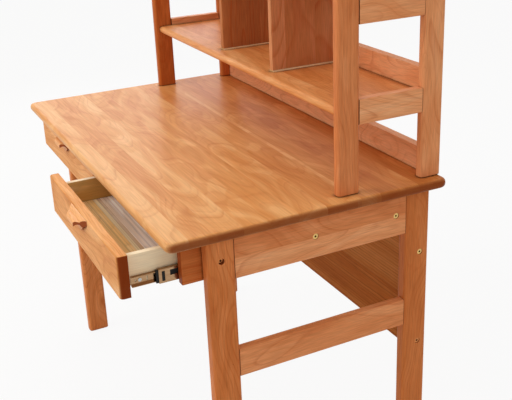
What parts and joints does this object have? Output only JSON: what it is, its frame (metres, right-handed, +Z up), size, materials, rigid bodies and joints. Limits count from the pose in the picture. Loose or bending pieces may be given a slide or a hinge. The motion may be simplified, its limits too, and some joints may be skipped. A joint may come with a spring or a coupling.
{
  "type": "student desk with hutch",
  "caption": "Solid-wood student desk with shallow drawers on ball-bearing slides, carved wooden pulls, a back panel, side stretchers and an open hutch with shelves and book dividers.",
  "frame": {"origin": "on the floor under the middle of the desk's overall box, with the right drawer standing open as stored", "axes": "+Z up, +X to the right of a person who sits at the desk, +Y from that person towards the hutch"},
  "size_m": [1.04, 0.697, 1.15],
  "materials": {
    "top_wood": "satin lacquer",
    "frame_wood": "satin lacquer",
    "panel_wood": "satin lacquer",
    "case_wood": "satin lacquer",
    "front_wood": "satin lacquer",
    "pull_wood": "satin lacquer",
    "box_wood": "matt",
    "bottom_wood": "matt",
    "hutch_wood": "satin lacquer",
    "shelf_wood": "satin lacquer",
    "divider_wood": "satin lacquer",
    "strip_wood": "bare",
    "dowel_wood": "bare",
    "slide_steel": "zinc plated",
    "slide_plastic": "moulded",
    "bolt_zinc": "yellow zinc plated steel",
    "screw_steel": "zinc plated"
  },
  "bodies": {
    "frame": {"apron_left": "frame_wood", "apron_right": "frame_wood", "barrel_nuts": "screw_steel", "bolts": "bolt_zinc", "case_back": "case_wood", "case_divider": "case_wood", "case_rail_back": "case_wood", "case_rail_front": "case_wood", "case_side_left": "case_wood", "case_side_right": "case_wood", "desktop": "top_wood", "divider_left": "divider_wood", "divider_right": "divider_wood", "divider_strips": "strip_wood", "dowels": "dowel_wood", "hutch_base_rail": "hutch_wood", "hutch_rail_lower_left": "hutch_wood", "hutch_rail_lower_right": "hutch_wood", "hutch_rail_upper_left": "hutch_wood", "hutch_rail_upper_right": "hutch_wood", "insert_nuts": "screw_steel", "left_slide_outers": "slide_steel", "leg_back_left": "frame_wood", "leg_back_right": "frame_wood", "leg_front_left": "frame_wood", "leg_front_right": "frame_wood", "modesty_panel": "panel_wood", "post_back_left": "hutch_wood", "post_back_right": "hutch_wood", "post_front_left": "hutch_wood", "post_front_right": "hutch_wood", "right_slide_outers": "slide_steel", "shelf_lower": "shelf_wood", "shelf_stop_lower": "hutch_wood", "shelf_stop_upper": "hutch_wood", "shelf_upper": "shelf_wood", "slide_screws": "screw_steel", "stretcher_left": "frame_wood", "stretcher_right": "frame_wood", "top_screws": "screw_steel"},
    "right_drawer": {"right_drawer_back": "box_wood", "right_drawer_bottom": "bottom_wood", "right_drawer_front": "front_wood", "right_drawer_inner_side": "box_wood", "right_drawer_outer_side": "box_wood", "right_drawer_pull": "pull_wood", "right_drawer_rails": "slide_steel", "right_drawer_screws": "screw_steel"},
    "left_drawer": {"left_drawer_back": "box_wood", "left_drawer_bottom": "bottom_wood", "left_drawer_front": "front_wood", "left_drawer_inner_side": "box_wood", "left_drawer_outer_side": "box_wood", "left_drawer_pull": "pull_wood", "left_drawer_rails": "slide_steel", "left_drawer_screws": "screw_steel"},
    "right_runner": {"right_slide_cages": "slide_plastic", "right_slide_middles": "slide_steel"},
    "left_runner": {"left_slide_cages": "slide_plastic", "left_slide_middles": "slide_steel"}
  },
  "joints": [
    {"name": "right_drawer_slide", "type": "slide", "parent": "frame", "child": "right_drawer", "axis": [0, -1, 0], "range_m": [-0.097, 0.263]},
    {"name": "left_drawer_slide", "type": "slide", "parent": "frame", "child": "left_drawer", "axis": [0, -1, 0], "range_m": [0, 0.36]},
    {"name": "right_runner_slide", "type": "slide", "parent": "frame", "child": "right_runner", "axis": [0, -1, 0], "range_m": [-0.0485, 0.1315]},
    {"name": "left_runner_slide", "type": "slide", "parent": "frame", "child": "left_runner", "axis": [0, -1, 0], "range_m": [0, 0.18]}
  ],
  "couplings": [
    {"joint": "right_runner_slide", "follows": "right_drawer_slide", "ratio": 0.5},
    {"joint": "left_runner_slide", "follows": "left_drawer_slide", "ratio": 0.5}
  ]
}
